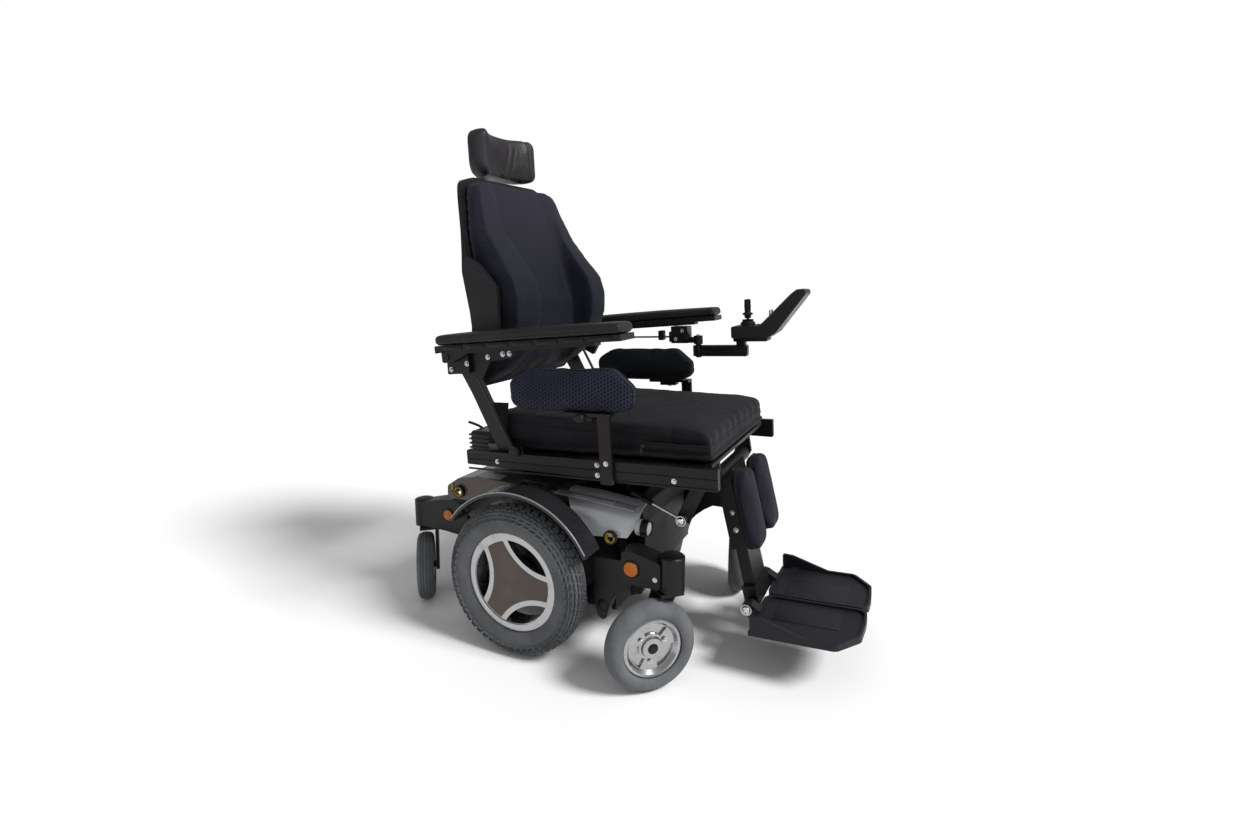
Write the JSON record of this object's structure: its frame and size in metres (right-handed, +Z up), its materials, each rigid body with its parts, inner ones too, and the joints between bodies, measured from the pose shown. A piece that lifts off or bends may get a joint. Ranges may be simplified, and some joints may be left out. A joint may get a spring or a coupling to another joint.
{
  "type": "power wheelchair",
  "caption": "Powered wheelchair with mid-wheel drive, sprung casters, and a lifting, tilting and reclining seat with armrests, joystick and leg support.",
  "frame": {"origin": "on the floor, midway between the drive wheels and straight below their axle", "axes": "+X forward, towards the footplates; +Y to the rider's left, the joystick's side; +Z up"},
  "size_m": [1.1828, 0.7122, 1.2371],
  "materials": {
    "black_steel": "satin powder coat",
    "battery_case": "matt",
    "motor_casting": "satin",
    "taupe_plastic": "moulded, matt",
    "silver_panel": "metallic paint",
    "fender_plastic": "satin moulding",
    "clear_lamp": "clear",
    "yellow_steel": "gloss",
    "drive_tread": "matt rubber",
    "silver_rim": "cast, lacquered",
    "taupe_insert": "moulded, matt",
    "caster_tread": "smooth rubber",
    "bright_steel": "polished",
    "cushion_fabric": "woven nylon",
    "back_fabric": "stretch knit",
    "mesh_fabric": "spacer mesh",
    "headrest_leather": "satin leatherette",
    "arm_pad_skin": "moulded, satin",
    "grey_shell": "moulded, satin",
    "black_plastic": "moulded, matt",
    "control_plastic": "satin moulding",
    "foot_plastic": "moulded, textured"
  },
  "bodies": {
    "chassis": {"chassis_frame": "black_steel", "batteries": "battery_case", "drive_motors": "motor_casting", "rear_cover": "taupe_plastic", "side_covers": "silver_panel", "wheel_fenders": "fender_plastic", "headlamps": "clear_lamp", "tie_down_eyes": "yellow_steel"},
    "drive_wheel_right": {"drive_tyre_right": "drive_tread", "drive_rim_right": "silver_rim", "rim_insert_right": "taupe_insert"},
    "drive_wheel_left": {"drive_tyre_left": "drive_tread", "drive_rim_left": "silver_rim", "rim_insert_left": "taupe_insert"},
    "front_suspension_right": {"front_arm_right": "black_steel"},
    "front_swivel_right": {"front_fork_right": "black_steel"},
    "front_wheel_right": {"front_caster_tyre_right": "caster_tread", "front_caster_rim_right": "silver_rim"},
    "front_suspension_left": {"front_arm_left": "black_steel"},
    "front_swivel_left": {"front_fork_left": "black_steel"},
    "front_wheel_left": {"front_caster_tyre_left": "caster_tread", "front_caster_rim_left": "silver_rim"},
    "rear_suspension_right": {"rear_arm_right": "black_steel"},
    "rear_swivel_right": {"rear_fork_right": "black_steel"},
    "rear_wheel_right": {"rear_caster_tyre_right": "caster_tread", "rear_caster_rim_right": "silver_rim"},
    "rear_suspension_left": {"rear_arm_left": "black_steel"},
    "rear_swivel_left": {"rear_fork_left": "black_steel"},
    "rear_wheel_left": {"rear_caster_tyre_left": "caster_tread", "rear_caster_rim_left": "silver_rim"},
    "lift": {"lift_carriage": "black_steel"},
    "seat": {"seat_frame": "black_steel", "seat_cushion": "cushion_fabric", "rear_electronics_box": "black_plastic"},
    "back": {"back_shell": "grey_shell", "back_cushion": "back_fabric"},
    "headrest": {"headrest_mount": "black_steel", "headrest_pad": "headrest_leather"},
    "arm_linkage": {"arm_hinge_brackets": "black_steel"},
    "arm_links": {"arm_link_rods": "black_steel"},
    "armrest_right": {"arm_frame_right": "black_plastic", "arm_pad_right": "arm_pad_skin"},
    "armrest_left": {"arm_frame_left": "black_plastic", "arm_pad_left": "arm_pad_skin"},
    "joystick": {"joystick_swing_arm": "black_steel", "joystick_housing": "control_plastic", "joystick_cable": "black_plastic"},
    "gimbal": {"joystick_gimbal": "bright_steel"},
    "lever": {"joystick_lever": "black_plastic"},
    "speed_switch": {"speed_toggle": "bright_steel"},
    "mode_switch": {"mode_toggle": "bright_steel"},
    "thigh_support_right": {"thigh_bracket_right": "black_steel", "thigh_pad_right": "mesh_fabric"},
    "thigh_support_left": {"thigh_bracket_left": "black_steel", "thigh_pad_left": "mesh_fabric"},
    "leg_support": {"leg_frame": "black_steel", "calf_pads": "mesh_fabric"},
    "leg_extension": {"lower_leg": "black_steel"},
    "footrest_right": {"footplate_right": "foot_plastic"},
    "footrest_left": {"footplate_left": "foot_plastic"}
  },
  "joints": [
    {"name": "drive_wheel_right_spin", "type": "hinge", "parent": "chassis", "child": "drive_wheel_right", "pos_m": [0, -0.3, 0.1775], "axis": [0, 1, 0], "continuous": true},
    {"name": "drive_wheel_left_spin", "type": "hinge", "parent": "chassis", "child": "drive_wheel_left", "pos_m": [0, 0.3, 0.1775], "axis": [0, 1, 0], "continuous": true},
    {"name": "front_suspension_right_swing", "type": "hinge", "parent": "chassis", "child": "front_suspension_right", "pos_m": [0.204, -0.251, 0.14], "axis": [0, -1, 0], "range_deg": [0, 6], "stiffness_Nm_per_rad": 1200, "springref_deg": -8.59},
    {"name": "front_caster_right_swivel", "type": "hinge", "parent": "front_suspension_right", "child": "front_swivel_right", "pos_m": [0.369, -0.263, 0.22], "axis": [0, 0, 1], "continuous": true},
    {"name": "front_caster_right_spin", "type": "hinge", "parent": "front_swivel_right", "child": "front_wheel_right", "pos_m": [0.33365, -0.29835, 0.1], "axis": [-0.7071, 0.7071, 0], "continuous": true},
    {"name": "front_suspension_left_swing", "type": "hinge", "parent": "chassis", "child": "front_suspension_left", "pos_m": [0.204, 0.251, 0.14], "axis": [0, -1, 0], "range_deg": [0, 6], "stiffness_Nm_per_rad": 1200, "springref_deg": -8.59},
    {"name": "front_caster_left_swivel", "type": "hinge", "parent": "front_suspension_left", "child": "front_swivel_left", "pos_m": [0.369, 0.263, 0.22], "axis": [0, 0, 1], "continuous": true},
    {"name": "front_caster_left_spin", "type": "hinge", "parent": "front_swivel_left", "child": "front_wheel_left", "pos_m": [0.3811, 0.21449, 0.1], "axis": [-0.9703, -0.2419, 0], "continuous": true},
    {"name": "rear_suspension_right_swing", "type": "hinge", "parent": "chassis", "child": "rear_suspension_right", "pos_m": [-0.24, -0.158, 0.232], "axis": [0, 1, 0], "range_deg": [0, 6], "stiffness_Nm_per_rad": 1200, "springref_deg": -8.59},
    {"name": "rear_caster_right_swivel", "type": "hinge", "parent": "rear_suspension_right", "child": "rear_swivel_right", "pos_m": [-0.4, -0.16, 0.198], "axis": [0, 0, 1], "continuous": true},
    {"name": "rear_caster_right_spin", "type": "hinge", "parent": "rear_swivel_right", "child": "rear_wheel_right", "pos_m": [-0.37429, -0.19064, 0.089], "axis": [-0.766, -0.6428, 0], "continuous": true},
    {"name": "rear_suspension_left_swing", "type": "hinge", "parent": "chassis", "child": "rear_suspension_left", "pos_m": [-0.24, 0.158, 0.232], "axis": [0, 1, 0], "range_deg": [0, 6], "stiffness_Nm_per_rad": 1200, "springref_deg": -8.59},
    {"name": "rear_caster_left_swivel", "type": "hinge", "parent": "rear_suspension_left", "child": "rear_swivel_left", "pos_m": [-0.4, 0.16, 0.198], "axis": [0, 0, 1], "continuous": true},
    {"name": "rear_caster_left_spin", "type": "hinge", "parent": "rear_swivel_left", "child": "rear_wheel_left", "pos_m": [-0.37429, 0.19064, 0.089], "axis": [0.766, -0.6428, 0], "continuous": true},
    {"name": "seat_lift", "type": "slide", "parent": "chassis", "child": "lift", "axis": [0, 0, 1], "range_m": [0, 0.15]},
    {"name": "seat_tilt", "type": "hinge", "parent": "lift", "child": "seat", "pos_m": [-0.18984, 0, 0.39205], "axis": [0, -1, 0], "range_deg": [0, 45]},
    {"name": "back_recline", "type": "hinge", "parent": "seat", "child": "back", "pos_m": [-0.06259, 0, 0.44779], "axis": [0, -1, 0], "range_deg": [0, 25]},
    {"name": "arm_bracket_turn", "type": "hinge", "parent": "back", "child": "arm_linkage", "pos_m": [-0.17838, 0, 0.65101], "axis": [0, -1, 0], "range_deg": [-25, 0]},
    {"name": "arm_link_turn", "type": "hinge", "parent": "seat", "child": "arm_links", "pos_m": [-0.02837, 0, 0.4636], "axis": [0, -1, 0], "range_deg": [0, 25]},
    {"name": "headrest_height", "type": "slide", "parent": "back", "child": "headrest", "axis": [-0.0523, 0, 0.9986], "range_m": [0, 0.06]},
    {"name": "armrest_right_flip", "type": "hinge", "parent": "arm_linkage", "child": "armrest_right", "pos_m": [-0.17995, -0.294, 0.68097], "axis": [0, -1, 0], "range_deg": [0, 95]},
    {"name": "armrest_left_flip", "type": "hinge", "parent": "arm_linkage", "child": "armrest_left", "pos_m": [-0.17995, 0.294, 0.68097], "axis": [0, -1, 0], "range_deg": [0, 95]},
    {"name": "joystick_swing", "type": "hinge", "parent": "armrest_left", "child": "joystick", "pos_m": [0.22911, 0.29, 0.65234], "axis": [-0.0523, 0, 0.9986], "range_deg": [0, 90]},
    {"name": "joystick_sideways", "type": "hinge", "parent": "joystick", "child": "gimbal", "pos_m": [0.37177, 0.29, 0.71989], "axis": [0.9986, 0, 0.0523], "range_deg": [-12, 12], "stiffness_Nm_per_rad": 0.3},
    {"name": "joystick_fore_aft", "type": "hinge", "parent": "gimbal", "child": "lever", "pos_m": [0.37177, 0.29, 0.71989], "axis": [0, 1, 0], "range_deg": [-12, 12], "stiffness_Nm_per_rad": 0.3},
    {"name": "speed_toggle_flick", "type": "hinge", "parent": "joystick", "child": "speed_switch", "pos_m": [0.43432, 0.276, 0.74921], "axis": [0, 1, 0], "range_deg": [-10, 10], "stiffness_Nm_per_rad": 0.05},
    {"name": "mode_toggle_flick", "type": "hinge", "parent": "joystick", "child": "mode_switch", "pos_m": [0.43432, 0.304, 0.74921], "axis": [0, 1, 0], "range_deg": [-10, 10], "stiffness_Nm_per_rad": 0.05},
    {"name": "thigh_support_right_height", "type": "slide", "parent": "seat", "child": "thigh_support_right", "axis": [-0.0523, 0, 0.9986], "range_m": [0, 0.03]},
    {"name": "thigh_support_left_height", "type": "slide", "parent": "seat", "child": "thigh_support_left", "axis": [-0.0523, 0, 0.9986], "range_m": [0, 0.03]},
    {"name": "leg_elevation", "type": "hinge", "parent": "seat", "child": "leg_support", "pos_m": [0.412, 0, 0.418], "axis": [0, -1, 0], "range_deg": [0, 45]},
    {"name": "leg_length", "type": "slide", "parent": "leg_support", "child": "leg_extension", "axis": [0.2436, 0, -0.9699], "range_m": [0, 0.07]},
    {"name": "footplate_right_flip", "type": "hinge", "parent": "leg_extension", "child": "footrest_right", "pos_m": [0.48801, -0.086, 0.1154], "axis": [0, -1, 0], "range_deg": [0, 60]},
    {"name": "footplate_left_flip", "type": "hinge", "parent": "leg_extension", "child": "footrest_left", "pos_m": [0.48801, 0.086, 0.1154], "axis": [0, -1, 0], "range_deg": [0, 60]}
  ],
  "couplings": [
    {"joint": "arm_bracket_turn", "follows": "back_recline", "ratio": -1},
    {"joint": "arm_link_turn", "follows": "back_recline", "ratio": 1}
  ]
}
